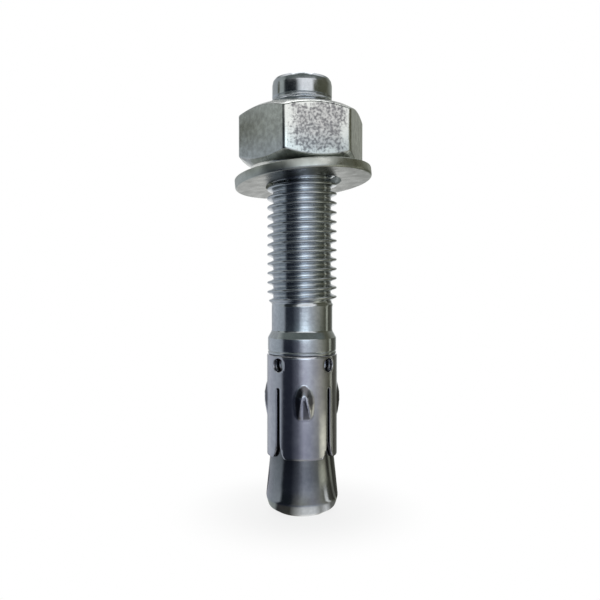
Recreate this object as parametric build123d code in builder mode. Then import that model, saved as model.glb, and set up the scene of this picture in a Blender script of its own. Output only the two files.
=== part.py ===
from build123d import *
import math
import os

# Wedge anchor, M12 size, about 74 mm long. Millimetres, +Z up along the stud's axis.
# The origin is the centre of the flat end of the cone, which the anchor stands on.
# The front of the anchor, as the photo shows it, faces -Y.

# thread of the stud
thread_r = 6.0
root_r = 5.0
pitch = 1.6
crest_deg = 40.0
root_deg = 70.0
crest_at_right_z = 40.09
thread_low_z = 35.0

# stud below the thread: flat end, cone, neck, collar, taper, shank
end_r = 4.3
end_round_z = 2.4
cone_r = 6.23
neck_low_z = 14.8
neck_r = 5.0
collar_low_z = 27.1
collar_high_z = 30.0
collar_r = 5.9
collar_edge = 0.12
ring_z = 27.65
ring_depth = 0.1
taper_high_z = 31.1
shank_r = 5.25

# thread run-out and the plain tip above the thread
runout_low_z = 35.3
runout_high_z = 37.2
runout_r = 5.27
tip_r = 5.12
tip_tall = 3.7
tip_chamfer_tall = 1.2
tip_end_r = 4.72
top_z = 73.9

# nut, kept at its distance below the tip
nut_flats = 19.2
nut_below_top = 14.9
nut_height = 9.6
nut_turn_deg = 15.0
nut_face_r = 8.6
nut_chamfer_deg = 30.0
nut_sink_r = 6.6
nut_tap_past = 0.8
thread_gap = 0.15

# washer, hanging askew under the nut
washer_r = 11.75
washer_hole_r = 6.5
washer_thick = 1.6
washer_below_nut = 2.0
washer_aside = 0.2
washer_roll_deg = 5.5
washer_pitch_deg = 4.2
washer_edge = 0.2

# expansion sleeve
neck_gap = 0.1
sleeve_r = 6.05
sleeve_low_z = 9.8
collar_gap = 0.06
leaf_turn_deg = 3.0
slot_wide = 0.7
slot_high_z = 21.7
hole_z = 25.5
hole_r = 1.15
leaf_corner_wide = 1.25
leaf_corner_tall = 3.2
seam_wide = 0.4
bump_low_z = 16.5
bump_tall = 5.9
bump_wide = 3.6
bump_height = 0.5
bump_lean_deg = 4.8
bump_taper_deg = 36.0
bump_press = 0.62

os.makedirs("parts", exist_ok=True)


def polar(radius, degrees):
    """Point at a radius and an angle in degrees."""
    angle = math.radians(degrees)
    return (radius * math.cos(angle), radius * math.sin(angle))


def thread_rod(low_z, turns, crest_r, core_r, crest_span, root_span):
    """Threaded rod: one turn of the thread is ruled between helices, cut level, and stacked."""
    half_crest = crest_span / 720 * pitch
    half_root = root_span / 720 * pitch
    crest_z = crest_at_right_z + (math.ceil((low_z - crest_at_right_z) / pitch) - 2) * pitch
    ridge = (
        (core_r, half_root - pitch / 2),
        (crest_r, -half_crest),
        (crest_r, half_crest),
        (core_r, pitch / 2 - half_root),
        (core_r, half_root + pitch / 2),
    )
    lines = [
        Helix(pitch=pitch, height=4 * pitch, radius=radius, center=(0, 0, crest_z + rise))
        for radius, rise in ridge
    ]
    slab = Solid.make_cylinder(crest_r + 1, pitch, Plane.XY.offset(low_z))
    turn = []
    for low_line, high_line in zip(lines, lines[1:]):
        strip = Face.make_surface_from_curves(low_line.edge(), high_line.edge())
        turn += strip.intersect(slab).faces()
    rim = []
    for face in turn:
        rim += face.edges().filter_by_position(Axis.Z, low_z - 0.001, low_z + 0.001)
    end = Face(Wire(rim))
    skin = [end, end.moved(Location((0, 0, turns * pitch)))]
    for k in range(turns):
        skin += [face.moved(Location((0, 0, k * pitch))) for face in turn]
    return Solid(Shell(skin))


def radial_plane(degrees, height, lean_deg=0.0):
    """Plane across a radius of the sleeve: local x runs round it, local y up and, with a lean, out."""
    out = polar(1, degrees)
    flat, drop = polar(1, -lean_deg)
    return Plane(origin=(0, 0, height), x_dir=(-out[1], out[0], 0), z_dir=(out[0] * flat, out[1] * flat, drop))


# Threaded shank with the crest run out at its lower end.
thread_turns = round((top_z - tip_tall - thread_low_z) / pitch)
thread_high_z = thread_low_z + thread_turns * pitch
with BuildPart() as threaded:
    add(thread_rod(thread_low_z, thread_turns, thread_r, root_r, crest_deg, root_deg))
    with BuildSketch(Plane.XZ):
        with BuildLine():
            Polyline(
                (runout_r, thread_low_z - 1),
                (runout_r, runout_low_z),
                (thread_r + 0.5, runout_high_z),
                (thread_r + 0.5, thread_low_z - 1),
                close=True,
            )
        make_face()
    revolve(axis=Axis.Z, mode=Mode.SUBTRACT, clean=False)

# Stud: plain lower end turned with its cone, neck, collar and shank, then the thread and the tip.
with BuildPart() as stud:
    with BuildSketch(Plane.XZ):
        with BuildLine():
            Line((0, 0), (end_r, 0))
            TangentArc((end_r, 0), (cone_r, end_round_z), tangent=(1, 0.12))
            Polyline(
                (cone_r, end_round_z),
                (neck_r, neck_low_z),
                (neck_r, collar_low_z),
                (collar_r - collar_edge, collar_low_z),
                (collar_r, collar_low_z + collar_edge),
                (collar_r, ring_z - ring_depth),
                (collar_r - ring_depth, ring_z),
                (collar_r, ring_z + ring_depth),
                (collar_r, collar_high_z - collar_edge),
                (collar_r - collar_edge, collar_high_z),
                (shank_r, taper_high_z),
                (shank_r, thread_low_z),
                (0, thread_low_z),
                (0, 0),
            )
        make_face()
    revolve(axis=Axis.Z)
    add(threaded.part, clean=False)
    with BuildSketch(Plane.XZ):
        with BuildLine():
            Polyline(
                (0, thread_high_z),
                (tip_r, thread_high_z),
                (tip_r, top_z - tip_chamfer_tall),
                (tip_end_r, top_z),
                (0, top_z),
                close=True,
            )
        make_face()
    revolve(axis=Axis.Z, clean=False)
stud.part.label = "stud"
export_step(stud.part, "parts/stud.step")

# Hex nut: chamfered at both ends, countersunk and threaded through.
nut_low_z = top_z - nut_below_top
nut_high_z = nut_low_z + nut_height
nut_tap_turns = math.ceil((nut_height + 2 * nut_tap_past) / pitch)
corner_r = nut_flats / 2 / math.cos(math.radians(30))
chamfer_reach = corner_r + 1 - nut_face_r
chamfer_drop = chamfer_reach * math.tan(math.radians(nut_chamfer_deg))
tapped_r = thread_r + thread_gap
bored_r = root_r + thread_gap
with BuildPart() as nut:
    with BuildSketch(Plane.XY.offset(nut_low_z)):
        RegularPolygon(radius=corner_r, side_count=6, major_radius=True, rotation=nut_turn_deg)
    extrude(amount=nut_height)
    for face_z, inward in ((nut_low_z, 1), (nut_high_z, -1)):
        with BuildSketch(Plane.XZ):
            with BuildLine():
                Polyline(
                    (nut_face_r, face_z),
                    (nut_face_r + chamfer_reach, face_z + inward * chamfer_drop),
                    (nut_face_r + chamfer_reach, face_z - inward),
                    (nut_face_r, face_z - inward),
                    close=True,
                )
            make_face()
        revolve(axis=Axis.Z, mode=Mode.SUBTRACT)
    add(
        thread_rod(nut_low_z - nut_tap_past, nut_tap_turns, tapped_r, bored_r, root_deg, crest_deg),
        mode=Mode.SUBTRACT,
        clean=False,
    )
    for face_z, inward in ((nut_low_z, 1), (nut_high_z, -1)):
        with BuildSketch(Plane.XZ):
            with BuildLine():
                Polyline(
                    (0, face_z - inward),
                    (nut_sink_r, face_z - inward),
                    (nut_sink_r, face_z),
                    (bored_r - 0.1, face_z + inward * (nut_sink_r - bored_r + 0.1) * 0.6),
                    (0, face_z + inward * (nut_sink_r - bored_r + 0.1) * 0.6),
                    close=True,
                )
            make_face()
        revolve(axis=Axis.Z, mode=Mode.SUBTRACT, clean=False)
nut.part.label = "nut"
export_step(nut.part, "parts/nut.step")

# Washer: flat ring, a little to the right, higher at the right and at the front.
washer_plane = Plane(
    origin=(washer_aside, 0, nut_low_z - washer_below_nut),
    x_dir=(1, 0, math.tan(math.radians(washer_roll_deg))),
    z_dir=(
        -math.tan(math.radians(washer_roll_deg)),
        math.tan(math.radians(washer_pitch_deg)),
        1,
    ),
)
with BuildPart() as washer:
    with BuildSketch(washer_plane.offset(-washer_thick / 2)):
        Circle(washer_r)
        Circle(washer_hole_r, mode=Mode.SUBTRACT)
    extrude(amount=washer_thick)
    chamfer(washer.edges().filter_by(GeomType.CIRCLE).sort_by(SortBy.RADIUS)[-2:], washer_edge)
washer.part.label = "washer"
export_step(washer.part, "parts/washer.step")

# Expansion sleeve: one strip bent round the neck, four leaves with a pressed bump on each.
sleeve_high_z = collar_low_z - collar_gap
sleeve_bore_r = neck_r + neck_gap
cone_slope = (cone_r - neck_r) / (neck_low_z - end_round_z)
flare_r = sleeve_bore_r + (neck_low_z - sleeve_low_z) * cone_slope
bump_sides = [
    (0.0, 1.0),
    (-0.2, 0.97),
    (-0.38, 0.85),
    (-0.48, 0.66),
    (-0.5, 0.5),
    (-0.47, 0.15),
    (-0.42, 0.0),
]
bump_outline = [(x * bump_wide, y * bump_tall) for x, y in bump_sides]
bump_outline += [(-x, y) for x, y in reversed(bump_outline[1:])]
press_outline = [(bump_press * x, 0.9 * y) for x, y in bump_outline]
with BuildPart() as sleeve:
    with BuildSketch(Plane.XZ):
        with BuildLine():
            Polyline(
                (flare_r, sleeve_low_z),
                (sleeve_r - 0.1, sleeve_low_z),
                (sleeve_r, sleeve_low_z + 0.1),
                (sleeve_r, sleeve_high_z - 0.1),
                (sleeve_r - 0.1, sleeve_high_z),
                (sleeve_bore_r, sleeve_high_z),
                (sleeve_bore_r, neck_low_z),
                close=True,
            )
        make_face()
    revolve(axis=Axis.Z)
    for quarter in range(4):
        bump_plane = radial_plane(leaf_turn_deg + 90 * quarter, bump_low_z, bump_lean_deg)
        with BuildSketch(bump_plane.offset(sleeve_r - bump_height)):
            with BuildLine():
                Polyline(*bump_outline, close=True)
            make_face()
        extrude(amount=bump_height, taper=bump_taper_deg)
    for quarter in range(4):
        bump_plane = radial_plane(leaf_turn_deg + 90 * quarter, bump_low_z, bump_lean_deg)
        with BuildSketch(bump_plane):
            with BuildLine():
                Polyline(*press_outline, close=True)
            make_face()
        extrude(amount=sleeve_bore_r, mode=Mode.SUBTRACT)
        slot_deg = leaf_turn_deg + 45 + 90 * quarter
        with BuildSketch(radial_plane(slot_deg, sleeve_low_z)):
            with BuildLine():
                Polyline(
                    (-slot_wide / 2 - leaf_corner_wide, -1),
                    (-slot_wide / 2 - leaf_corner_wide, 0),
                    (-slot_wide / 2 - 0.35 * leaf_corner_wide, 0.45 * leaf_corner_tall),
                    (-slot_wide / 2, leaf_corner_tall),
                    (-slot_wide / 2, slot_high_z - sleeve_low_z),
                    (slot_wide / 2, slot_high_z - sleeve_low_z),
                    (slot_wide / 2, leaf_corner_tall),
                    (slot_wide / 2 + 0.35 * leaf_corner_wide, 0.45 * leaf_corner_tall),
                    (slot_wide / 2 + leaf_corner_wide, 0),
                    (slot_wide / 2 + leaf_corner_wide, -1),
                    close=True,
                )
            make_face()
        extrude(amount=sleeve_r + 1, mode=Mode.SUBTRACT)
        with BuildSketch(radial_plane(slot_deg, hole_z)):
            Circle(hole_r)
        extrude(amount=sleeve_r + 1, mode=Mode.SUBTRACT)
    seam_deg = leaf_turn_deg + 45 + 90
    with BuildSketch(radial_plane(seam_deg, slot_high_z - 0.5)):
        with Locations((0, 3.5)):
            Rectangle(seam_wide, 8)
    extrude(amount=sleeve_r + 1, mode=Mode.SUBTRACT)
sleeve.part.label = "expansion_sleeve"
export_step(sleeve.part, "parts/expansion_sleeve.step")

for name, part in (("stud", stud), ("nut", nut), ("washer", washer), ("sleeve", sleeve)):
    print(name, part.part.is_valid, round(part.part.volume, 3), len(part.part.solids()))
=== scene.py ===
"""Looks of a zinc-plated wedge anchor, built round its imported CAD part.

Run as a script, it makes the stud, the expansion sleeve, the washer and the nut,
and the studio that they stand in. Sizes are in metres, +Z runs up the stud and
the camera looks from -Y.
"""

import math

import bmesh
import bpy
import numpy as np
from mathutils import Matrix, Vector
from mathutils.geometry import delaunay_2d_cdt


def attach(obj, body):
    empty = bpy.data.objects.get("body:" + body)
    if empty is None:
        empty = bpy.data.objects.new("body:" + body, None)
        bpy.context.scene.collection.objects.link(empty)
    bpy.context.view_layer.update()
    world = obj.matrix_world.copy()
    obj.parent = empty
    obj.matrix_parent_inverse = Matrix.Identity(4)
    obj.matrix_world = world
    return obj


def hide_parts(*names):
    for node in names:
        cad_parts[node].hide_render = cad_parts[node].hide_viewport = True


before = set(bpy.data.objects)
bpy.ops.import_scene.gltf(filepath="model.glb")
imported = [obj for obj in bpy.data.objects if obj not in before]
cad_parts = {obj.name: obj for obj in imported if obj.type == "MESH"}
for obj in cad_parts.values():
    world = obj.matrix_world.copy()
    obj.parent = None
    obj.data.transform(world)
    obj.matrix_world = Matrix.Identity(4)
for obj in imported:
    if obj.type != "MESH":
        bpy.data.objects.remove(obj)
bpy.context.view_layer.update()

bl_info = {
    "name": "Wedge anchor",
    "version": (1, 0, 0),
    "blender": (4, 5, 0),
    "location": "3D View > Sidebar > Anchor",
    "description": "Makes a zinc-plated wedge anchor with its sleeve, washer and nut",
    "category": "Object",
}

MM = 0.001


def length_entry(name, description, millimetres):
    """Property for a length, written in millimetres."""
    return bpy.props.FloatProperty(
        name=name, description=description, default=millimetres * MM, unit="LENGTH"
    )


def angle_entry(name, description, degrees):
    """Property for an angle, written in degrees."""
    return bpy.props.FloatProperty(
        name=name, description=description, default=math.radians(degrees), subtype="ANGLE"
    )


def colour_entry(name, description, colour):
    """Property for a colour."""
    return bpy.props.FloatVectorProperty(
        name=name, description=description, default=colour, subtype="COLOR", size=3
    )


class StudSizes(bpy.types.PropertyGroup):
    """Sizes of the stud, from the flat end of its cone to its plain tip."""

    columns: bpy.props.IntProperty(
        name="Columns", description="Facets round the stud", default=96, min=24
    )
    thread_radius: length_entry("Thread radius", "Radius over the crests", 6.0)
    root_radius: length_entry("Root radius", "Radius at the roots", 5.0)
    pitch: length_entry("Pitch", "Rise of the thread in one turn", 1.6)
    crest_height: length_entry("Crest height", "Height of a crest at the right of the stud", 40.09)
    thread_low: length_entry("Thread start", "Height where the thread starts", 35.0)
    thread_high: length_entry("Thread end", "Height where the thread ends", 70.4)
    end_radius: length_entry("End radius", "Radius of the flat end", 4.3)
    rim_height: length_entry("Rim height", "Height where the cone is widest", 2.5)
    neck_low: length_entry("Neck start", "Height where the cone meets the neck", 14.8)
    collar_low: length_entry("Collar start", "Height of the collar's lower face", 27.1)
    groove_height: length_entry("Groove height", "Height of the groove round the collar", 27.65)
    collar_high: length_entry("Collar end", "Height where the collar starts to taper", 29.9)
    taper_high: length_entry("Taper end", "Height where the taper meets the shank", 31.1)
    shank_radius: length_entry("Shank radius", "Radius of the plain shank", 5.25)
    collar_radius: length_entry("Collar radius", "Radius of the collar", 5.9)
    neck_radius: length_entry("Neck radius", "Radius of the neck in the sleeve", 5.0)
    cone_radius: length_entry("Cone radius", "Largest radius of the cone", 6.23)
    tip_radius: length_entry("Tip radius", "Radius of the plain tip", 5.12)
    length: length_entry("Length", "Length of the stud", 73.9)


class SleeveSizes(bpy.types.PropertyGroup):
    """Sizes of the slotted sleeve and of its flat strip."""

    radius: length_entry("Radius", "Outer radius", 6.05)
    bore_radius: length_entry("Bore radius", "Inner radius at the neck", 5.1)
    low: length_entry("Lower end", "Height of the leaves' ends", 9.8)
    high: length_entry("Upper end", "Height of the upper edge", 27.04)
    leaf_turn: angle_entry("Leaf turn", "Turn of the leaves from the +X side", 3.0)
    slot_width: length_entry("Slot width", "Width of the four slots", 0.7)
    slot_high: length_entry("Slot end", "Height of the slots' closed ends", 21.7)
    hole_height: length_entry("Hole height", "Height of the holes' centres", 25.5)
    hole_radius: length_entry("Hole radius", "Radius of the four holes", 1.15)
    corner_width: length_entry("Corner width", "Width cut from a leaf's corner", 1.25)
    corner_height: length_entry("Corner height", "Height cut from a leaf's corner", 3.2)
    seam_width: length_entry("Seam width", "Gap where the strip's ends meet", 0.4)
    flare_high: length_entry("Flare height", "Height below which the bore flares", 14.8)
    flare_slope: bpy.props.FloatProperty(
        name="Flare slope", description="How fast the bore widens down the cone", default=0.0992
    )
    bump_low: length_entry("Bump start", "Height of the bumps' lower ends", 16.5)
    bump_height: length_entry("Bump length", "Length of the bumps up the leaf", 5.9)
    bump_width: length_entry("Bump width", "Width of the bumps", 3.6)
    bump_rise: length_entry("Bump rise", "How far the bumps stand out", 0.44)


class WasherSizes(bpy.types.PropertyGroup):
    """Sizes of the washer and how it hangs."""

    radius: length_entry("Radius", "Outer radius", 11.75)
    hole_radius: length_entry("Hole radius", "Radius of the hole", 6.5)
    thickness: length_entry("Thickness", "Thickness of the sheet", 1.6)
    height: length_entry("Height", "Height of the washer's centre", 57.0)
    aside: length_entry("Aside", "How far the washer hangs to the right", 0.2)
    roll: angle_entry("Roll", "How far the right side is up", 5.5)
    tip: angle_entry("Tip", "How far the front is up", 4.2)


class NutSizes(bpy.types.PropertyGroup):
    """Sizes of the hex nut."""

    flats: length_entry("Across flats", "Width across the flats", 19.2)
    low: length_entry("Lower face", "Height of the lower face", 59.0)
    height: length_entry("Height", "Height of the nut", 9.6)
    turn: angle_entry("Turn", "Turn of a corner from the +X side", 15.0)
    face_radius: length_entry("Face radius", "Radius of the flat end faces", 8.6)
    chamfer: angle_entry("Chamfer", "Slope of the corners' chamfer", 30.0)
    corner_round: length_entry("Corner rounding", "Rounding of the six corners", 0.8)
    sink_radius: length_entry("Countersink", "Radius of the countersinks", 6.6)
    thread_gap: length_entry("Thread gap", "Play between the nut's thread and the stud's", 0.15)


class Finishes(bpy.types.PropertyGroup):
    """Colours of the plating."""

    stud: colour_entry("Stud", "Plating of the stud", (0.72, 0.75, 0.79))
    sleeve: colour_entry("Sleeve", "Plating of the sleeve", (0.74, 0.74, 0.79))
    washer: colour_entry("Washer", "Plating of the washer", (0.74, 0.76, 0.72))
    nut: colour_entry("Nut", "Plating of the nut", (0.76, 0.78, 0.77))


class StageSettings(bpy.types.PropertyGroup):
    """Camera, floor and light."""

    distance: length_entry("Distance", "Distance of the camera from the stud", 115.0)
    eye_height: length_entry("Eye height", "Height of the camera", 39.4)
    aside: length_entry("Aside", "How far the camera stands to the left", 0.35)
    look_down: angle_entry("Look down", "How far the camera is turned down", 1.55)
    lens: bpy.props.FloatProperty(
        name="Lens", description="Focal length in mm on the sensor", default=39.9
    )
    floor_white: bpy.props.FloatProperty(
        name="Floor white", description="Brightness of the floor", default=0.9, min=0.0, max=1.0
    )


class NodeMaker:
    """Makes and links the nodes of one tree."""

    def __init__(self, tree):
        self.nodes = tree.nodes
        self.links = tree.links

    def feed(self, socket, value):
        """Links a value to a socket, or sets it there; a colour is three numbers."""
        if isinstance(value, bpy.types.NodeSocket):
            self.links.new(value, socket)
        elif socket.type == "RGBA":
            socket.default_value = (*value, 1.0)
        else:
            socket.default_value = value

    def math(self, operation, *values):
        """Result of a Math node."""
        node = self.nodes.new("ShaderNodeMath")
        node.operation = operation
        for socket, value in zip(node.inputs, values):
            self.feed(socket, value)
        return node.outputs[0]

    def mapped(self, value, low, high, start=0.0, end=1.0, smooth=True):
        """Value taken from one range to another, and kept inside it."""
        node = self.nodes.new("ShaderNodeMapRange")
        node.interpolation_type = "SMOOTHSTEP" if smooth else "LINEAR"
        for socket, entry in zip(node.inputs[:5], (value, low, high, start, end)):
            self.feed(socket, entry)
        return node.outputs[0]

    def mix(self, share, low, high):
        """Mix of two colours by a share."""
        node = self.nodes.new("ShaderNodeMix")
        node.data_type = "RGBA"
        for name, value in (("Factor", share), ("A", low), ("B", high)):
            self.feed(node.inputs[name], value)
        return node.outputs["Result"]

    def mix_shaders(self, share, low, high):
        """Mix of two shaders by a share."""
        node = self.nodes.new("ShaderNodeMixShader")
        for socket, value in zip(node.inputs, (share, low, high)):
            self.links.new(value, socket)
        return node.outputs[0]

    def parts(self, vector):
        """X, Y and Z of a vector."""
        node = self.nodes.new("ShaderNodeSeparateXYZ")
        self.links.new(vector, node.inputs[0])
        return tuple(node.outputs)

    def noise(self, place, scale, detail=2.0, stretch=(1.0, 1.0, 1.0)):
        """Noise at a place."""
        mapping = self.nodes.new("ShaderNodeMapping")
        mapping.inputs["Scale"].default_value = stretch
        self.links.new(place, mapping.inputs["Vector"])
        node = self.nodes.new("ShaderNodeTexNoise")
        node.inputs["Scale"].default_value = scale
        node.inputs["Detail"].default_value = detail
        self.links.new(mapping.outputs[0], node.inputs["Vector"])
        return node.outputs["Fac"]

    def ramp(self, share, stops):
        """Colour by a share, from (share, colour) stops."""
        node = self.nodes.new("ShaderNodeValToRGB")
        elements = node.color_ramp.elements
        while len(elements) < len(stops):
            elements.new(0.5)
        for element, (at, _) in zip(elements, stops):
            element.position = at
        for element, (_, colour) in zip(elements, stops):
            element.color = (*colour, 1.0)
        self.links.new(share, node.inputs[0])
        return node.outputs[0]

    def walls(self, x, y, stops):
        """Colour of the studio's walls by the way they lie; 0 degrees is the camera's side."""
        turn = self.math("ARCTAN2", x, self.math("MULTIPLY", y, -1.0))
        share = self.math("MULTIPLY_ADD", turn, 1 / (2 * math.pi), 0.5)
        return self.ramp(share, [(degrees / 360 + 0.5, colour) for degrees, colour in stops])


def rounded(corners, steps=4):
    """Line of (radius, height) points; a corner with a third value gets a fillet of that radius."""
    points = []
    for i, corner in enumerate(corners):
        here = Vector(corner[:2])
        fillet = corner[2] if len(corner) > 2 else 0.0
        if fillet == 0.0 or i == 0 or i == len(corners) - 1:
            points.append(tuple(here))
            continue
        back = Vector(corners[i - 1][:2]) - here
        ahead = Vector(corners[i + 1][:2]) - here
        half = back.angle(ahead) / 2
        reach = min(fillet / math.tan(half), 0.49 * back.length, 0.49 * ahead.length)
        start = here + back.normalized() * reach
        end = here + ahead.normalized() * reach
        for k in range(steps + 1):
            share = k / steps
            low = start.lerp(here, share)
            high = here.lerp(end, share)
            points.append(tuple(low.lerp(high, share)))
    return points


def turned(line, columns):
    """Vertices and faces of a line of (radius, height) turned round Z; radius 0 makes a pole."""
    angles = [2 * math.pi * k / columns for k in range(columns)]
    points = []
    rows = []
    for radius, height in line:
        if radius <= 0.0:
            rows.append([len(points)] * columns)
            points.append((0.0, 0.0, height))
            continue
        rows.append(list(range(len(points), len(points) + columns)))
        points += [(radius * math.cos(a), radius * math.sin(a), height) for a in angles]
    faces = []
    for low, high in zip(rows, rows[1:]):
        for k in range(columns):
            n = (k + 1) % columns
            corners = [low[k], low[n], high[n], high[k]]
            face = [c for j, c in enumerate(corners) if c not in corners[:j]]
            if len(face) > 2:
                faces.append(face)
    return points, faces


def placed(name, data):
    """Object of a mesh, a light or a camera, put in the scene."""
    made = bpy.data.objects.new(name, data)
    bpy.context.scene.collection.objects.link(made)
    return made


def welded(name, parts, gap=1e-6, sharp=math.radians(32)):
    """One object of several (vertices, faces) parts, welded where they meet."""
    mesh = bpy.data.meshes.new(name)
    made = bmesh.new()
    for points, faces in parts:
        corners = [made.verts.new(p) for p in points]
        for face in faces:
            made.faces.new([corners[i] for i in face])
    bmesh.ops.remove_doubles(made, verts=made.verts, dist=gap)
    bmesh.ops.recalc_face_normals(made, faces=made.faces)
    made.to_mesh(mesh)
    made.free()
    mesh.shade_smooth()
    mesh.set_sharp_from_angle(angle=sharp)
    return placed(name, mesh)


def thread_tree():
    """Geometry Nodes: a cylinder whose skin follows a screw thread that fades at both ends."""
    tree = bpy.data.node_groups.new("screw_thread", "GeometryNodeTree")
    tree.is_modifier = True
    sizes = (
        ("Low", 0.035),
        ("High", 0.070),
        ("Pitch", 0.0016),
        ("Crest height", 0.040),
        ("Crest radius", 0.006),
        ("Root radius", 0.005),
        ("Low radius", 0.00525),
        ("High radius", 0.0051),
        ("Low fade", 0.002),
        ("High fade", 0.001),
        ("Crest share", 0.11),
        ("Root share", 0.19),
        ("Rounding", 0.8),
    )
    tree.interface.new_socket(name="Geometry", in_out="INPUT", socket_type="NodeSocketGeometry")
    for name, value in sizes:
        entry = tree.interface.new_socket(name=name, in_out="INPUT", socket_type="NodeSocketFloat")
        entry.default_value = value
    for name, value in (("Columns", 96), ("Rows", 440)):
        entry = tree.interface.new_socket(name=name, in_out="INPUT", socket_type="NodeSocketInt")
        entry.default_value = value
    tree.interface.new_socket(name="Finish", in_out="INPUT", socket_type="NodeSocketMaterial")
    tree.interface.new_socket(name="Geometry", in_out="OUTPUT", socket_type="NodeSocketGeometry")
    nodes = tree.nodes
    links = tree.links
    given = nodes.new("NodeGroupInput").outputs
    make = NodeMaker(tree)

    def blend(share, start, end):
        step = make.math("SUBTRACT", end, start)
        return make.math("MULTIPLY_ADD", step, share, start)

    grid = nodes.new("GeometryNodeMeshGrid")
    grid.inputs["Size X"].default_value = 1.0
    grid.inputs["Size Y"].default_value = 1.0
    links.new(make.math("ADD", given["Columns"], 1.0), grid.inputs["Vertices X"])
    links.new(make.math("ADD", given["Rows"], 1.0), grid.inputs["Vertices Y"])
    across, along, _ = make.parts(nodes.new("GeometryNodeInputPosition").outputs[0])
    round_share = make.math("ADD", across, 0.5)
    up_share = make.math("ADD", along, 0.5)
    angle = make.math("MULTIPLY", round_share, 2 * math.pi)
    height = blend(up_share, given["Low"], given["High"])
    rise = make.math("SUBTRACT", height, given["Crest height"])
    turns = make.math("SUBTRACT", make.math("DIVIDE", rise, given["Pitch"]), round_share)
    from_crest = make.math("MULTIPLY", make.math("PINGPONG", turns, 0.5), 2.0)
    root_start = make.math("SUBTRACT", 1.0, given["Root share"])
    straight = make.mapped(from_crest, given["Crest share"], root_start, 1.0, 0.0, smooth=False)
    rolled = make.mapped(from_crest, given["Crest share"], root_start, 1.0, 0.0)
    flank = blend(given["Rounding"], straight, rolled)
    threaded = blend(flank, given["Root radius"], given["Crest radius"])
    low_end = make.math("ADD", given["Low"], given["Low fade"])
    low_share = make.mapped(height, given["Low"], low_end)
    high_start = make.math("SUBTRACT", given["High"], given["High fade"])
    high_share = make.mapped(height, high_start, given["High"])
    radius = blend(high_share, blend(low_share, given["Low radius"], threaded), given["High radius"])
    point = nodes.new("ShaderNodeCombineXYZ")
    links.new(make.math("MULTIPLY", radius, make.math("COSINE", angle)), point.inputs["X"])
    links.new(make.math("MULTIPLY", radius, make.math("SINE", angle)), point.inputs["Y"])
    links.new(height, point.inputs["Z"])
    wrap = nodes.new("GeometryNodeSetPosition")
    links.new(grid.outputs["Mesh"], wrap.inputs["Geometry"])
    links.new(point.outputs[0], wrap.inputs["Position"])
    weld = nodes.new("GeometryNodeMergeByDistance")
    links.new(wrap.outputs[0], weld.inputs["Geometry"])
    weld.inputs["Distance"].default_value = 1e-6
    real = nodes.new("GeometryNodeRealizeInstances")
    links.new(weld.outputs[0], real.inputs[0])
    finish = nodes.new("GeometryNodeSetMaterial")
    links.new(real.outputs[0], finish.inputs["Geometry"])
    links.new(given["Finish"], finish.inputs["Material"])
    out = nodes.new("NodeGroupOutput")
    links.new(finish.outputs[0], out.inputs[0])
    return tree


def thread_skin(finish, **sizes):
    """(vertices, faces) of a thread's skin; sizes name the tree's inputs, with _ for a space."""
    tree = bpy.data.node_groups.get("screw_thread") or thread_tree()
    carrier = placed("thread_carrier", bpy.data.meshes.new("thread_carrier"))
    modifier = carrier.modifiers.new("thread", "NODES")
    modifier.node_group = tree
    wanted = {name.replace("_", " "): value for name, value in sizes.items()}
    wanted["Finish"] = finish
    for entry in tree.interface.items_tree:
        if entry.in_out == "INPUT" and entry.name in wanted:
            modifier[entry.identifier] = wanted[entry.name]
    seen = carrier.evaluated_get(bpy.context.evaluated_depsgraph_get())
    mesh = bpy.data.meshes.new_from_object(seen)
    points = [tuple(v.co) for v in mesh.vertices]
    faces = [tuple(p.vertices) for p in mesh.polygons]
    bpy.data.objects.remove(carrier)
    bpy.data.meshes.remove(mesh)
    return points, faces


def plating(name, colour, dark, roughness, grain, grain_size, lines=0.0, blotch=0.5, painted_shade=False):
    """Zinc plating: mottled colour and gloss, fine grain, and turning lines where lines is above 0.

    With the switch on, a vertex attribute on the mesh mixes painted shade into the plating, near black where
    it is full.
    """
    finish = bpy.data.materials.new(name)
    finish.use_nodes = True
    nodes = finish.node_tree.nodes
    make = NodeMaker(finish.node_tree)
    shader = nodes["Principled BSDF"]
    shader.inputs["Metallic"].default_value = 1.0
    place = nodes.new("ShaderNodeTexCoord").outputs["Object"]
    mottle = make.noise(place, grain_size, 3.0)
    clouds = make.mapped(make.noise(place, grain_size * 0.22), 0.3, 0.7, smooth=False)
    patches = make.mapped(mottle, 0.35, 0.65, 0.0, 1.0 - blotch, smooth=False)
    tone = make.mix(make.math("MULTIPLY_ADD", clouds, blotch, patches), dark, colour)
    if painted_shade:
        # Painted shade: the attribute's share mixes the plating towards near black (0.07).
        depth = nodes.new("ShaderNodeAttribute")
        depth.attribute_name = "painted_shade"
        tone = make.mix(depth.outputs["Fac"], tone, (0.07, 0.07, 0.075))
    make.feed(shader.inputs["Base Color"], tone)
    smear = make.noise(place, grain_size * 0.6, 4.0)
    gloss = make.mapped(smear, 0.3, 0.7, roughness * 0.75, roughness * 1.35, smooth=False)
    make.feed(shader.inputs["Roughness"], gloss)
    height = mottle
    if lines > 0.0:
        tool_marks = make.noise(place, 2600.0, 2.0, (0.05, 0.05, 1.0))
        height = make.math("MULTIPLY_ADD", tool_marks, lines, mottle)
    bump = nodes.new("ShaderNodeBump")
    bump.inputs["Strength"].default_value = grain
    bump.inputs["Distance"].default_value = 0.02 * MM
    make.feed(bump.inputs["Height"], height)
    make.feed(shader.inputs["Normal"], bump.outputs[0])
    return finish


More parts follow.
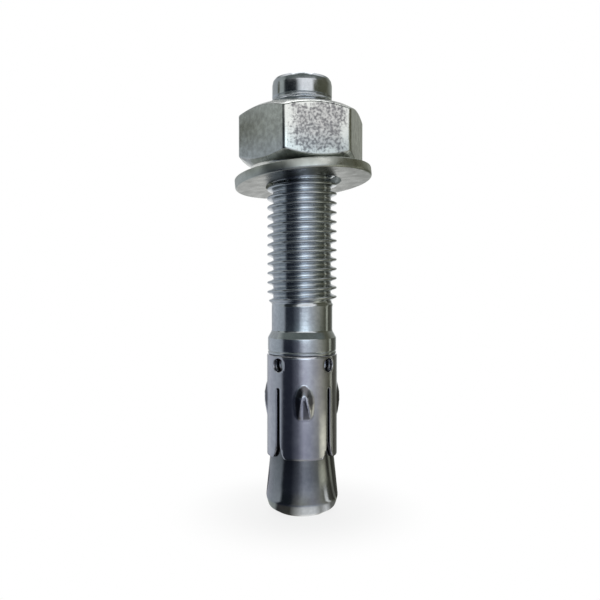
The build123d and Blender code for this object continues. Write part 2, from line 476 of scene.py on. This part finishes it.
def wear_faces(finish, turn, middle, half):
    """Adds the nut's worn faces: every other side is bright at its rim and speckled dark in its middle."""
    nodes = finish.node_tree.nodes
    make = NodeMaker(finish.node_tree)
    place = nodes.new("ShaderNodeTexCoord").outputs["Object"]
    x, y, z = make.parts(place)
    round_angle = make.math("SUBTRACT", make.math("ARCTAN2", y, x), turn - math.pi / 2)
    from_worn = make.math("PINGPONG", round_angle, math.pi / 3)
    aside = make.math("DIVIDE", make.math("TANGENT", from_worn), math.tan(math.pi / 6))
    height = make.math("ABSOLUTE", make.math("DIVIDE", make.math("SUBTRACT", z, middle), half))
    speck = make.noise(place, 2500.0, 4.0)
    ragged = make.math("MULTIPLY_ADD", speck, 0.5, -0.6)
    ragged = make.math("MULTIPLY_ADD", make.noise(place, 420.0), 0.7, ragged)
    inner = make.math(
        "MULTIPLY",
        make.mapped(make.math("ADD", aside, ragged), 0.62, 0.92, 1.0, 0.0),
        make.mapped(make.math("ADD", height, ragged), 0.60, 0.88, 1.0, 0.0),
    )
    shader = nodes["Principled BSDF"]
    plain = shader.inputs["Base Color"].links[0].from_socket
    speckled = make.mix(make.mapped(speck, 0.34, 0.66), (0.22, 0.22, 0.23), (0.66, 0.66, 0.65))
    worn = make.mix(inner, (0.88, 0.90, 0.87), speckled)
    unworn = make.math("MAXIMUM", make.mapped(from_worn, 0.50, 0.53), make.mapped(height, 0.86, 0.91))
    make.feed(shader.inputs["Base Color"], make.mix(unworn, worn, plain))


def mark_painted_shade(piece, painted_shade_at):
    """Stores how much painted shade each vertex gets, from 0 to 1, as a vertex attribute."""
    layer = piece.data.attributes.new("painted_shade", "FLOAT", "POINT")
    layer.data.foreach_set("value", [painted_shade_at(v.co) for v in piece.data.vertices])


def dress(piece, finish, body, node):
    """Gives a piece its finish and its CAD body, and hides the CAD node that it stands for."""
    piece.data.materials.clear()
    piece.data.materials.append(finish)
    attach(piece, body)
    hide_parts(node)


class ANCHOR_OT_stud(bpy.types.Operator):
    """Make the stud with its cone, neck, collar, shank, thread and tip"""

    bl_idname = "anchor.stud"
    bl_label = "Make stud"

    def execute(self, context):
        s = context.scene.anchor_stud
        colours = context.scene.anchor_finishes
        dark = (0.56, 0.59, 0.63)
        finish = plating("stud_plating", colours.stud, dark, 0.13, 0.2, 1500.0, lines=0.5, painted_shade=True)
        foot = s.cone_radius - 0.25 * (s.cone_radius - s.end_radius)
        groove = 0.15 * MM
        groove_depth = 0.12 * MM
        groove_round = 0.06 * MM
        below = rounded(
            [
                (0.0, 0.0),
                (s.end_radius, 0.0, 0.5 * MM),
                (foot, 0.85 * MM, 1.2 * MM),
                (s.cone_radius, s.rim_height, 1.6 * MM),
                (s.neck_radius, s.neck_low, 2.0 * MM),
                (s.neck_radius, s.collar_low),
                (s.collar_radius, s.collar_low, 0.2 * MM),
                (s.collar_radius, s.groove_height - groove, groove_round),
                (s.collar_radius - groove_depth, s.groove_height, groove_round),
                (s.collar_radius, s.groove_height + groove, groove_round),
                (s.collar_radius, s.collar_high, 0.25 * MM),
                (s.shank_radius, s.taper_high, 0.8 * MM),
                (s.shank_radius, s.thread_low),
            ]
        )
        above = rounded(
            [
                (s.tip_radius, s.thread_high),
                (s.tip_radius, s.thread_high + 0.1 * MM, 0.05 * MM),
                (s.tip_radius - 0.12 * MM, s.thread_high + 0.25 * MM, 0.05 * MM),
                (s.tip_radius, s.thread_high + 0.4 * MM, 0.05 * MM),
                (s.tip_radius, s.length - 1.1 * MM, 0.6 * MM),
                (s.tip_radius - 0.12 * MM, s.length - 0.45 * MM, 0.3 * MM),
                (s.tip_radius - 0.4 * MM, s.length, 0.1 * MM),
                (0.0, s.length),
            ]
        )
        turns = (s.thread_high - s.thread_low) / s.pitch
        thread = thread_skin(
            finish,
            Low=s.thread_low,
            High=s.thread_high,
            Pitch=s.pitch,
            Crest_height=s.crest_height,
            Crest_radius=s.thread_radius,
            Root_radius=s.root_radius,
            Low_radius=s.shank_radius,
            High_radius=s.tip_radius,
            Low_fade=2.0 * MM,
            High_fade=0.9 * MM,
            Columns=s.columns,
            Rows=int(turns * 18),
        )
        parts = [turned(below, s.columns), thread, turned(above, s.columns)]
        piece = welded("anchor_stud", parts, sharp=math.radians(50))
        # Painted shade: about a third on the cone's lower part, more towards the sleeve, full on the neck
        # inside the sleeve, none from the collar up.
        painted_shade_heights = [height * MM for height in (3.0, 8.0, 10.0, 16.0, 26.6, 27.1)]
        painted_shade_shares = (0.32, 0.40, 0.56, 1.0, 1.0, 0.0)
        mark_painted_shade(piece, lambda at: float(np.interp(at.z, painted_shade_heights, painted_shade_shares)))
        dress(piece, finish, "stud", "stud")
        return {"FINISHED"}


def seam_angle(s):
    """Where the sleeve's seam lies, from the +X side; the flat strip starts there."""
    return s.leaf_turn + math.radians(135)


def strip_outline(s):
    """Outer edge and hole edges of the sleeve's flat strip, as lists of (along, height)."""
    length = 2 * math.pi * s.radius
    step = 0.2 * MM

    def run(points):
        dense = []
        for a, b in zip(points, points[1:]):
            count = max(1, int(math.hypot(b[0] - a[0], b[1] - a[1]) / step))
            dense += [
                (a[0] + (b[0] - a[0]) * k / count, a[1] + (b[1] - a[1]) * k / count) for k in range(count)
            ]
        return dense + [points[-1]]

    half = s.slot_width / 2
    corner = [
        (half + s.corner_width * (1 - math.sin(t)), s.low + s.corner_height * (1 - math.cos(t)))
        for t in np.linspace(0.0, math.pi / 2, 9)
    ]
    slot_end = [
        (half * math.cos(t), s.slot_high - half + half * math.sin(t)) for t in np.linspace(0.0, math.pi, 9)
    ]
    edge = []
    for k in range(4):
        at = length * k / 4
        if k == 0:
            near = s.seam_width / 2
            dip = math.sqrt(s.hole_radius**2 - near**2)
            first = math.atan2(-dip, near)
            arc = [
                (s.hole_radius * math.cos(a), s.hole_height + s.hole_radius * math.sin(a))
                for a in np.linspace(first, -first, 11)
            ]
            step_in = [(near, s.slot_high - 0.05 * MM), (half, s.slot_high - 0.3 * MM)]
            start = [(near, s.high)] + arc[::-1] + step_in + corner[::-1]
            edge += start
        else:
            left = [(at - x, z) for x, z in corner]
            edge += left + [(at - half, s.slot_high - half)]
            edge += [(at - x, z) for x, z in slot_end[1:-1]]
            edge += [(at + half, s.slot_high - half)] + [(at + x, z) for x, z in corner[::-1]]
    edge += [(length - x, z) for x, z in start[::-1]]
    holes = []
    for k in range(1, 4):
        at = length * k / 4
        holes.append(
            [
                (at + s.hole_radius * math.cos(a), s.hole_height + s.hole_radius * math.sin(a))
                for a in np.linspace(0.0, 2 * math.pi, 37)[:-1]
            ]
        )
    return run(edge + [edge[0]])[:-1], holes


def inside(points, loop):
    """True for each point that lies in a closed loop."""
    x = points[:, 0][:, None]
    y = points[:, 1][:, None]
    a = np.array(loop)
    b = np.roll(a, -1, axis=0)
    crosses = (a[:, 1] > y) != (b[:, 1] > y)
    span = np.where(b[:, 1] == a[:, 1], 1.0, b[:, 1] - a[:, 1])
    at = a[:, 0] + (y - a[:, 1]) * (b[:, 0] - a[:, 0]) / span
    return (crosses & (x < at)).sum(axis=1) % 2 == 1


def shifted(loop, distance):
    """The loop moved sideways to its left by a distance."""
    a = np.array(loop)
    along = np.roll(a, -1, axis=0) - np.roll(a, 1, axis=0)
    along /= np.maximum(np.linalg.norm(along, axis=1), 1e-9)[:, None]
    return a + distance * np.stack([-along[:, 1], along[:, 0]], axis=1)


BUMP_EDGE = ((0.0, 0.06, 0.15, 0.5, 0.66, 0.85, 0.97, 1.0), (0.2, 0.36, 0.45, 0.5, 0.48, 0.37, 0.18, 0.0))


def bump_rise(s, along, height):
    """How far the pressed bumps stand out at a place on the flat strip."""
    share = (height - s.bump_low) / s.bump_height
    leaf = 2 * math.pi * s.radius / 4
    aside = np.abs((along % leaf) - leaf / 2) / s.bump_width
    edge = np.interp(share, *BUMP_EDGE)
    top = np.interp(share, [0.0, 0.3, 0.75, 1.0], [0.27, 0.2, 0.04, 0.0])
    peak = np.interp(share, [0.0, 0.12, 0.3, 0.45, 0.66, 0.85, 1.0], [0.0, 0.4, 0.8, 1.0, 1.0, 0.5, 0.0])
    flank = np.clip((edge - aside) / np.maximum(edge - top, 0.02), 0.0, 1.0)
    soft = flank * flank * (3 - 2 * flank)
    dish = np.clip((top - aside) / 0.1, 0.0, 1.0)
    return s.bump_rise * peak * (0.8 * flank + 0.2 * soft - 0.3 * dish)


def bump_painted_shade(s, along, height):
    """How much painted shade a pressed bump gets at a place on the flat strip: its dish and flanks are
    shaded, its two ridges and its rim are left bright.
    """
    share = (height - s.bump_low) / s.bump_height
    leaf = 2 * math.pi * s.radius / 4
    aside = ((along % leaf) - leaf / 2) / s.bump_width
    edge = np.interp(share, *BUMP_EDGE)
    inner = np.clip((edge - 0.07 - abs(aside)) / 0.05, 0.0, 1.0) * np.clip(share / 0.06, 0.0, 1.0)
    steep = np.interp(share, [0.0, 0.3, 0.66], [0.33, 0.24, 0.05])
    ridge = min(abs(aside + 0.1), abs(aside - steep))
    if share >= 0.66:
        ridge = math.hypot(aside, 2.0 * (share - 0.66))
    wide = 0.04 if share < 0.58 else 0.08
    return 0.85 * inner * float(np.clip((ridge - wide) / 0.03, 0.0, 1.0))


def strip_mesh(s):
    """(vertices, faces) of the sleeve: its flat strip cut out, pressed and bent round."""
    edge, holes = strip_outline(s)
    lip = 0.09 * MM
    coarse = 0.38 * MM
    fine = 0.16 * MM
    clear = 0.14 * MM
    thinnest = 0.12 * MM
    loops = [edge] + [hole[::-1] for hole in holes]
    area = sum(a[0] * b[1] - b[0] * a[1] for a, b in zip(edge, edge[1:] + edge[:1]))
    loops[0] = edge if area > 0 else edge[::-1]
    points = []
    links = []
    drops = []
    rims = []
    for loop in loops:
        for depth, distance in ((1.0, 0.0), (0.3, 0.4 * lip), (0.0, lip)):
            moved = shifted(loop, distance) if distance else np.array(loop)
            first = len(points)
            points += [tuple(p) for p in moved]
            drops += [depth * lip] * len(moved)
            if distance == 0.0:
                rims.append((first, len(moved)))
                links += [(first + k, first + (k + 1) % len(moved)) for k in range(len(moved))]
    length = 2 * math.pi * s.radius
    leaf = length / 4
    rows = np.arange(s.low, s.high, coarse)
    spots = [(x, z) for z in rows for x in np.arange(0.0, length, coarse)]
    for k in range(4):
        middle = leaf * (k + 0.5)
        for z in np.arange(s.bump_low - 0.2 * MM, s.bump_low + s.bump_height + 0.2 * MM, fine):
            spots += [(middle + x, z) for x in np.arange(-2.0 * MM, 2.01 * MM, fine)]
    spots = np.array(spots)
    keep = inside(spots, loops[0])
    for hole in loops[1:]:
        keep &= ~inside(spots, hole)
    near = np.array(points)
    for start in range(0, len(spots), 4000):
        part = spots[start : start + 4000]
        gap = np.linalg.norm(part[:, None, :] - near[None, :, :], axis=2).min(axis=1)
        keep[start : start + 4000] &= gap > clear
    spots = spots[keep]
    points += [tuple(p) for p in spots]
    drops += [0.0] * len(spots)
    scale = 1 / MM
    flat = [Vector((p[0] * scale, p[1] * scale)) for p in points]
    done, _, faces, origin, _, _ = delaunay_2d_cdt(flat, links, [], 0, 1e-5)
    where = np.array([(v.x * MM, v.y * MM) for v in done])
    middles = np.array([where[list(f)].mean(axis=0) for f in faces])
    good = inside(middles, loops[0])
    for hole in loops[1:]:
        good &= ~inside(middles, hole)
    faces = [f for f, ok in zip(faces, good) if ok]
    drop = np.array([max((drops[i] for i in source), default=0.0) for source in origin])
    new_of = {}
    for new, source in enumerate(origin):
        for i in source:
            new_of[i] = new
    rise = bump_rise(s, where[:, 0], where[:, 1])
    outer = s.radius + rise - drop
    flare = np.maximum(s.flare_high - where[:, 1], 0.0) * s.flare_slope
    inner = s.bore_radius + flare + 0.6 * rise + 0.5 * drop
    inner = np.minimum(inner, outer - thinnest)
    angle = seam_angle(s) + where[:, 0] / s.radius
    made = []
    for radius in (outer, inner):
        made += list(zip(radius * np.cos(angle), radius * np.sin(angle), where[:, 1]))
    count = len(where)
    skin = [tuple(f) for f in faces]
    skin += [tuple(i + count for i in reversed(f)) for f in faces]
    for first, size in rims:
        for k in range(size):
            a = new_of[first + k]
            b = new_of[first + (k + 1) % size]
            if a != b:
                skin.append((a, a + count, b + count, b))
    return [tuple(map(float, p)) for p in made], skin


class ANCHOR_OT_sleeve(bpy.types.Operator):
    """Make the expansion sleeve from its flat strip"""

    bl_idname = "anchor.sleeve"
    bl_label = "Make sleeve"

    def execute(self, context):
        s = context.scene.anchor_sleeve
        colours = context.scene.anchor_finishes
        dark = (0.56, 0.56, 0.63)
        finish = plating("sleeve_plating", colours.sleeve, dark, 0.15, 0.15, 1100.0, blotch=0.6, painted_shade=True)
        piece = welded("anchor_sleeve", [strip_mesh(s)], gap=1e-7, sharp=math.radians(48))
        outside = s.radius - 0.14 * MM

        # Painted shade: full on the sleeve's inner face, so its slots and holes darken inward, plus the
        # bumps' painted shade outside.
        def painted_shade_on_sleeve(at):
            if math.hypot(at.x, at.y) < outside:
                return 1.0
            angle = (math.atan2(at.y, at.x) - seam_angle(s)) % (2 * math.pi)
            return float(bump_painted_shade(s, angle * s.radius, at.z))

        mark_painted_shade(piece, painted_shade_on_sleeve)
        dress(piece, finish, "sleeve", "expansion_sleeve")
        return {"FINISHED"}


class ANCHOR_OT_washer(bpy.types.Operator):
    """Make the washer, hanging askew under the nut"""

    bl_idname = "anchor.washer"
    bl_label = "Make washer"

    def execute(self, context):
        s = context.scene.anchor_washer
        colours = context.scene.anchor_finishes
        dark = (0.50, 0.52, 0.48)
        finish = plating("washer_plating", colours.washer, dark, 0.3, 0.3, 900.0, blotch=0.6, painted_shade=True)
        half = s.thickness / 2
        ring = rounded(
            [
                (s.hole_radius, 0.0),
                (s.hole_radius, -half, 0.12 * MM),
                (s.radius, -half, 0.35 * MM),
                (s.radius, half, 0.2 * MM),
                (s.hole_radius, half, 0.2 * MM),
                (s.hole_radius, 0.0),
            ]
        )
        points, faces = turned(ring, 144)
        up = Vector((-math.tan(s.roll), math.tan(s.tip), 1.0)).normalized()
        lean = Vector((0.0, 0.0, 1.0)).rotation_difference(up).to_matrix().to_4x4()
        place = Matrix.Translation((s.aside, 0.0, s.height)) @ lean
        points = [tuple(place @ Vector(p)) for p in points]
        piece = welded("anchor_washer", [(points, faces)], sharp=math.radians(40))
        middle = place.translation
        # Painted shade: the washer's underside is darkened to a share of 0.55.
        mark_painted_shade(piece, lambda at: 0.55 * float((at - middle).dot(up) < -0.98 * half))
        dress(piece, finish, "washer", "washer")
        return {"FINISHED"}


def hex_radius(s, angle):
    """Distance from the axis to the nut's side at an angle from one of its corners."""
    aside = abs((angle + math.pi / 6) % (math.pi / 3) - math.pi / 6)
    apothem = s.flats / 2
    centre = apothem / math.cos(math.pi / 6) - s.corner_round / math.sin(math.pi / 3)
    touch = math.atan2(s.corner_round * 0.5, centre + s.corner_round * math.cos(math.pi / 6))
    if aside > touch:
        return apothem / math.cos(math.pi / 6 - aside)
    return centre * math.cos(aside) + math.sqrt(s.corner_round**2 - (centre * math.sin(aside)) ** 2)


class ANCHOR_OT_nut(bpy.types.Operator):
    """Make the hex nut with its chamfers, countersinks and thread"""

    bl_idname = "anchor.nut"
    bl_label = "Make nut"

    def execute(self, context):
        s = context.scene.anchor_nut
        stud = context.scene.anchor_stud
        colours = context.scene.anchor_finishes
        finish = plating("nut_plating", colours.nut, (0.50, 0.51, 0.50), 0.2, 0.35, 1300.0, blotch=0.25)
        wear_faces(finish, s.turn, s.low + s.height / 2, s.height / 2)
        high = s.low + s.height
        bore = stud.thread_radius + s.thread_gap + 0.02 * MM
        sink = (s.sink_radius - bore) * 0.6
        offsets = [math.radians(d) for d in (0.0, 0.45, 0.9, 1.35, 1.8, 2.25, 2.8)]
        offsets += [math.radians(d) for d in np.arange(4.0, 57.0, 2.0)]
        offsets += [math.radians(60 - d) for d in (2.8, 2.25, 1.8, 1.35, 0.9, 0.45)]
        angles = [k * math.pi / 3 + a for k in range(6) for a in offsets]
        points = []
        rows = 0
        for angle in angles:
            side = hex_radius(s, angle)
            rise = (side - s.face_radius) * math.tan(s.chamfer)
            column = rounded(
                [
                    (bore, s.low + sink),
                    (s.sink_radius, s.low, 0.08 * MM),
                    (s.face_radius, s.low, 0.15 * MM),
                    (side, s.low + rise, 0.4 * MM),
                    (side, high - rise, 0.4 * MM),
                    (s.face_radius, high, 0.15 * MM),
                    (s.sink_radius, high, 0.08 * MM),
                    (bore, high - sink),
                ],
                steps=3,
            )
            rows = len(column)
            turned_to = angle + s.turn
            points += [(r * math.cos(turned_to), r * math.sin(turned_to), z) for r, z in column]
        faces = []
        count = len(angles)
        for k in range(count):
            n = (k + 1) % count
            for row in range(rows):
                up = (row + 1) % rows
                faces.append((k * rows + row, n * rows + row, n * rows + up, k * rows + up))
        thread = thread_skin(
            finish,
            Low=s.low + sink,
            High=high - sink,
            Pitch=stud.pitch,
            Crest_height=stud.crest_height,
            Crest_radius=bore - 0.01 * MM,
            Root_radius=stud.root_radius + s.thread_gap,
            Low_radius=bore + 0.05 * MM,
            High_radius=bore + 0.05 * MM,
            Low_fade=1.0 * MM,
            High_fade=1.0 * MM,
            Crest_share=0.19,
            Root_share=0.11,
            Columns=72,
            Rows=int((s.height - 2 * sink) / stud.pitch * 14),
        )
        jacket = turned(
            [
                (bore + 0.05 * MM, s.low + sink),
                (bore + 0.3 * MM, s.low + sink + 0.2 * MM),
                (bore + 0.3 * MM, high - sink - 0.2 * MM),
                (bore + 0.05 * MM, high - sink),
            ],
            72,
        )
        ring_points = thread[0] + jacket[0]
        shift = len(thread[0])
        ring_faces = thread[1] + [tuple(i + shift for i in f) for f in jacket[1]]
        piece = welded("anchor_nut", [(points, faces), (ring_points, ring_faces)], sharp=math.radians(42))
        dress(piece, finish, "nut", "nut")
        return {"FINISHED"}


# The studio's walls as the metal shows them: colours by degrees from the camera's side, to the right.
# The metal sees LOW, CARD, SPOT and FOOT in the floor, with EYE far off, and EYE, HIGH and RIM above it.
LOW_WALLS = (
    (-180, (0.95, 0.95, 0.95)), (-168, (0.85, 0.86, 0.86)), (-156, (0.40, 0.42, 0.44)),
    (-130, (0.46, 0.49, 0.53)), (-91, (0.36, 0.40, 0.43)), (-72, (0.30, 0.33, 0.36)),
    (-62, (0.020, 0.024, 0.034)), (-34, (0.022, 0.026, 0.038)), (-12, (0.12, 0.13, 0.16)),
    (6, (0.56, 0.59, 0.66)), (22, (0.56, 0.60, 0.66)), (36, (0.42, 0.44, 0.46)),
    (58, (0.34, 0.34, 0.31)), (76, (0.21, 0.21, 0.17)), (92, (0.11, 0.11, 0.08)),
    (100, (0.08, 0.08, 0.06)), (104, (0.40, 0.41, 0.33)), (110, (0.40, 0.41, 0.33)),
    (115, (0.06, 0.06, 0.045)), (135, (0.10, 0.10, 0.08)), (150, (0.20, 0.21, 0.18)),
    (168, (0.80, 0.81, 0.80)), (180, (0.95, 0.95, 0.95)),
)
EYE_WALLS = (
    *(stop for stop in LOW_WALLS if stop[0] < -70),
    (-62, (0.035, 0.045, 0.055)), (-34, (0.045, 0.055, 0.065)), (-12, (0.24, 0.30, 0.33)),
    (3, (1.40, 1.62, 1.75)), (17, (1.36, 1.60, 1.74)), (30, (0.66, 0.74, 0.80)),
    (46, (0.42, 0.46, 0.45)), (60, (0.28, 0.30, 0.27)), (76, (0.13, 0.14, 0.11)),
    *(stop for stop in LOW_WALLS if stop[0] > 90),
)
CARD_WALLS = (
    *(stop for stop in LOW_WALLS if stop[0] < 0),
    (6, (0.36, 0.38, 0.45)), (22, (0.28, 0.30, 0.36)), (52, (0.24, 0.25, 0.24)),
    (59, (0.60, 0.60, 0.48)), (70, (0.90, 0.90, 0.71)), (80, (0.68, 0.67, 0.52)),
    (91, (0.05, 0.05, 0.04)),
    *(stop for stop in LOW_WALLS if stop[0] > 99),
)
SPOT_WALLS = (
    (-180, (0.95, 0.95, 0.95)), (-168, (0.80, 0.80, 0.80)), (-156, (0.30, 0.30, 0.31)),
    (-148, (0.11, 0.11, 0.12)), (-137, (0.11, 0.11, 0.12)), (-131, (0.44, 0.45, 0.50)),
    (-91, (0.36, 0.39, 0.42)), (-66, (0.33, 0.36, 0.38)), (-58, (0.012, 0.016, 0.020)),
    (-30, (0.016, 0.020, 0.024)), (-12, (0.20, 0.20, 0.19)), (0, (0.36, 0.37, 0.34)),
    (30, (0.30, 0.30, 0.33)), (58, (0.28, 0.28, 0.24)), (66, (0.16, 0.16, 0.13)),
    (69, (1.0, 1.0, 0.95)), (77, (1.0, 1.0, 0.95)), (80, (0.10, 0.10, 0.08)),
    (100, (0.04, 0.04, 0.03)), (104, (0.20, 0.20, 0.17)), (110, (0.20, 0.20, 0.17)),
    (115, (0.05, 0.05, 0.04)), (150, (0.12, 0.12, 0.10)), (168, (0.60, 0.60, 0.60)),
    (180, (0.95, 0.95, 0.95)),
)
FOOT_WALLS = (
    (-180, (0.95, 0.95, 0.95)), (-120, (0.40, 0.43, 0.40)), (-68, (0.36, 0.39, 0.37)),
    (-58, (0.05, 0.05, 0.05)), (-26, (0.07, 0.07, 0.06)), (-10, (0.55, 0.55, 0.52)),
    (2, (0.98, 0.98, 0.95)), (26, (1.0, 1.0, 0.98)), (40, (0.45, 0.45, 0.42)),
    (56, (0.90, 0.90, 0.88)), (74, (0.20, 0.20, 0.18)), (140, (0.14, 0.14, 0.12)),
    (180, (0.95, 0.95, 0.95)),
)
HIGH_WALLS = (
    (-180, (0.95, 0.95, 0.95)), (-168, (0.85, 0.86, 0.86)), (-156, (0.40, 0.42, 0.42)),
    (-108, (0.34, 0.36, 0.36)), (-103, (0.08, 0.08, 0.05)), (-97, (0.08, 0.08, 0.05)),
    (-93, (0.40, 0.43, 0.41)), (-76, (0.36, 0.39, 0.37)), (-68, (0.015, 0.018, 0.02)),
    (-22, (0.015, 0.018, 0.02)), (-12, (0.60, 0.62, 0.62)), (2, (0.98, 0.98, 0.98)),
    (38, (0.98, 0.98, 0.98)), (47, (0.08, 0.08, 0.05)), (110, (0.10, 0.10, 0.07)),
    (150, (0.32, 0.33, 0.29)), (164, (0.32, 0.33, 0.29)), (174, (0.90, 0.90, 0.90)),
    (180, (0.95, 0.95, 0.95)),
)
RIM_WALLS = (
    *(stop for stop in HIGH_WALLS if stop[0] < -104),
    *(stop for stop in HIGH_WALLS if -94 < stop[0] < -30),
    (-26, (0.30, 0.31, 0.30)), (-14, (0.98, 0.98, 0.98)), (50, (0.98, 0.98, 0.98)),
    (62, (0.12, 0.12, 0.09)),
    *(stop for stop in HIGH_WALLS if stop[0] > 100),
)


def studio_world():
    """World: white behind the anchor, and a studio's light and dark walls in the metal."""
    world = bpy.data.worlds.new("studio")
    bpy.context.scene.world = world
    world.use_nodes = True
    nodes = world.node_tree.nodes
    nodes.clear()
    make = NodeMaker(world.node_tree)
    x, y, z = make.parts(nodes.new("ShaderNodeTexCoord").outputs["Generated"])
    walls = make.walls(x, y, EYE_WALLS)
    for stops, start, full in ((HIGH_WALLS, 0.12, 0.19), (RIM_WALLS, 0.30, 0.32)):
        walls = make.mix(make.mapped(z, start, full), walls, make.walls(x, y, stops))
    walls = make.mix(make.mapped(z, 0.5, 0.62), walls, (0.13, 0.15, 0.14))
    above = make.math("MULTIPLY", make.mapped(z, 0.55, 0.9), make.mapped(y, -0.15, 0.1))
    lit = nodes.new("ShaderNodeBackground")
    make.feed(lit.inputs["Color"], make.mix(above, walls, (0.85, 0.85, 0.85)))
    white = nodes.new("ShaderNodeBackground")
    make.feed(white.inputs["Color"], (1.0, 1.0, 1.0))
    path = nodes.new("ShaderNodeLightPath").outputs
    behind = make.mapped(y, 0.975, 0.99)
    mirrored = make.math("MULTIPLY_ADD", path["Is Glossy Ray"], behind, path["Is Camera Ray"])
    seen = make.math("MAXIMUM", mirrored, path["Is Transmission Ray"])
    out = nodes.new("ShaderNodeOutputWorld")
    make.feed(out.inputs[0], make.mix_shaders(seen, lit.outputs[0], white.outputs[0]))


def floor_finish(white):
    """Pale floor that fades to the backdrop's white, and shows the walls' foot in the metal."""
    finish = bpy.data.materials.new("pale_floor")
    finish.use_nodes = True
    nodes = finish.node_tree.nodes
    make = NodeMaker(finish.node_tree)
    shader = nodes["Principled BSDF"]
    make.feed(shader.inputs["Base Color"], (white, white, white))
    shader.inputs["Roughness"].default_value = 0.6
    place = nodes.new("ShaderNodeTexCoord").outputs["Object"]
    x, y, _ = make.parts(place)
    distance = nodes.new("ShaderNodeVectorMath")
    distance.operation = "LENGTH"
    make.feed(distance.inputs[0], place)
    reach = distance.outputs["Value"]
    path = nodes.new("ShaderNodeLightPath").outputs
    seen = make.math("MAXIMUM", path["Is Camera Ray"], path["Is Transmission Ray"])
    backdrop = make.math("MULTIPLY", make.mapped(reach, 7 * MM, 24 * MM, 0.84, 1.0), seen)
    glow = nodes.new("ShaderNodeEmission")
    make.feed(glow.inputs["Color"], (1.0, 1.0, 1.0))
    pale = make.mix_shaders(backdrop, shader.outputs[0], glow.outputs[0])

    def ring(*shares):
        return make.ramp(reach, [(at, (share, share, share)) for at, share in shares])

    def walls(stops):
        return make.walls(x, y, stops)

    card = ring((0.034, 0.0), (0.042, 1.0), (0.070, 1.0), (0.100, 0.0))
    spot = ring((0.009, 0.0), (0.012, 1.0), (0.026, 1.0), (0.036, 0.0))
    mirrored = make.mix(card, walls(LOW_WALLS), walls(CARD_WALLS))
    mirrored = make.mix(spot, mirrored, walls(SPOT_WALLS))
    mirrored = make.mix(make.mapped(reach, 0.95, 1.3), mirrored, walls(EYE_WALLS))
    mirrored = make.mix(make.mapped(reach, 8.8 * MM, 7.4 * MM), mirrored, walls(FOOT_WALLS))
    foot = nodes.new("ShaderNodeEmission")
    make.feed(foot.inputs["Color"], mirrored)
    surface = make.mix_shaders(path["Is Glossy Ray"], pale, foot.outputs[0])
    make.feed(nodes["Material Output"].inputs["Surface"], surface)
    return finish


def soft_light(name, place, target, size, power):
    """Square soft light aimed at a point."""
    data = bpy.data.lights.new(name, "AREA")
    data.size = size
    data.energy = power
    lamp = placed(name, data)
    lamp.location = place
    lamp.rotation_euler = (Vector(target) - Vector(place)).to_track_quat("-Z", "Y").to_euler()


class ANCHOR_OT_stage(bpy.types.Operator):
    """Make the floor, the light and the camera"""

    bl_idname = "anchor.stage"
    bl_label = "Make stage"

    def execute(self, context):
        s = context.scene.anchor_stage
        scene = context.scene
        scene.view_settings.view_transform = "Standard"
        mesh = bpy.data.meshes.new("floor")
        reach = 3.0
        mesh.from_pydata(
            [(-reach, -reach, 0.0), (reach, -reach, 0.0), (reach, reach, 0.0), (-reach, reach, 0.0)],
            [],
            [(0, 1, 2, 3)],
        )
        floor = placed("floor", mesh)
        mesh.materials.append(floor_finish(s.floor_white))
        studio_world()
        soft_light("top_light", (0.0, 0.12, 0.5), (0.0, 0.0, 0.03), 0.35, 0.4)
        camera = placed("camera", bpy.data.cameras.new("camera"))
        camera.data.lens = s.lens
        camera.data.sensor_width = 36.0
        camera.data.clip_start = 0.005
        camera.location = (-s.aside, -s.distance, s.eye_height)
        camera.rotation_euler = (math.pi / 2 - s.look_down, 0.0, 0.0)
        scene.camera = camera
        return {"FINISHED"}


class ANCHOR_PT_panel(bpy.types.Panel):
    """Lists the makers of the anchor's pieces"""

    bl_idname = "ANCHOR_PT_panel"
    bl_label = "Wedge anchor"
    bl_space_type = "VIEW_3D"
    bl_region_type = "UI"
    bl_category = "Anchor"

    def draw(self, context):
        for name in ("stud", "sleeve", "washer", "nut", "stage"):
            column = self.layout.column(align=True)
            column.operator(f"anchor.{name}")
            settings = getattr(context.scene, f"anchor_{name}")
            for entry in settings.bl_rna.properties:
                if entry.identifier not in ("rna_type", "name"):
                    column.prop(settings, entry.identifier)
        finishes = self.layout.column(align=True)
        for name in ("stud", "sleeve", "washer", "nut"):
            finishes.prop(context.scene.anchor_finishes, name)


GROUPS = {
    "anchor_stud": StudSizes,
    "anchor_sleeve": SleeveSizes,
    "anchor_washer": WasherSizes,
    "anchor_nut": NutSizes,
    "anchor_finishes": Finishes,
    "anchor_stage": StageSettings,
}
CLASSES = (
    *GROUPS.values(),
    ANCHOR_OT_stud,
    ANCHOR_OT_sleeve,
    ANCHOR_OT_washer,
    ANCHOR_OT_nut,
    ANCHOR_OT_stage,
    ANCHOR_PT_panel,
)


def register():
    for kind in CLASSES:
        bpy.utils.register_class(kind)
    for name, group in GROUPS.items():
        setattr(bpy.types.Scene, name, bpy.props.PointerProperty(type=group))


def unregister():
    for name in GROUPS:
        delattr(bpy.types.Scene, name)
    for kind in reversed(CLASSES):
        bpy.utils.unregister_class(kind)


def main():
    register()
    bpy.ops.anchor.stage()
    bpy.ops.anchor.stud()
    bpy.ops.anchor.sleeve()
    bpy.ops.anchor.washer()
    bpy.ops.anchor.nut()


if __name__ == "__main__":
    main()
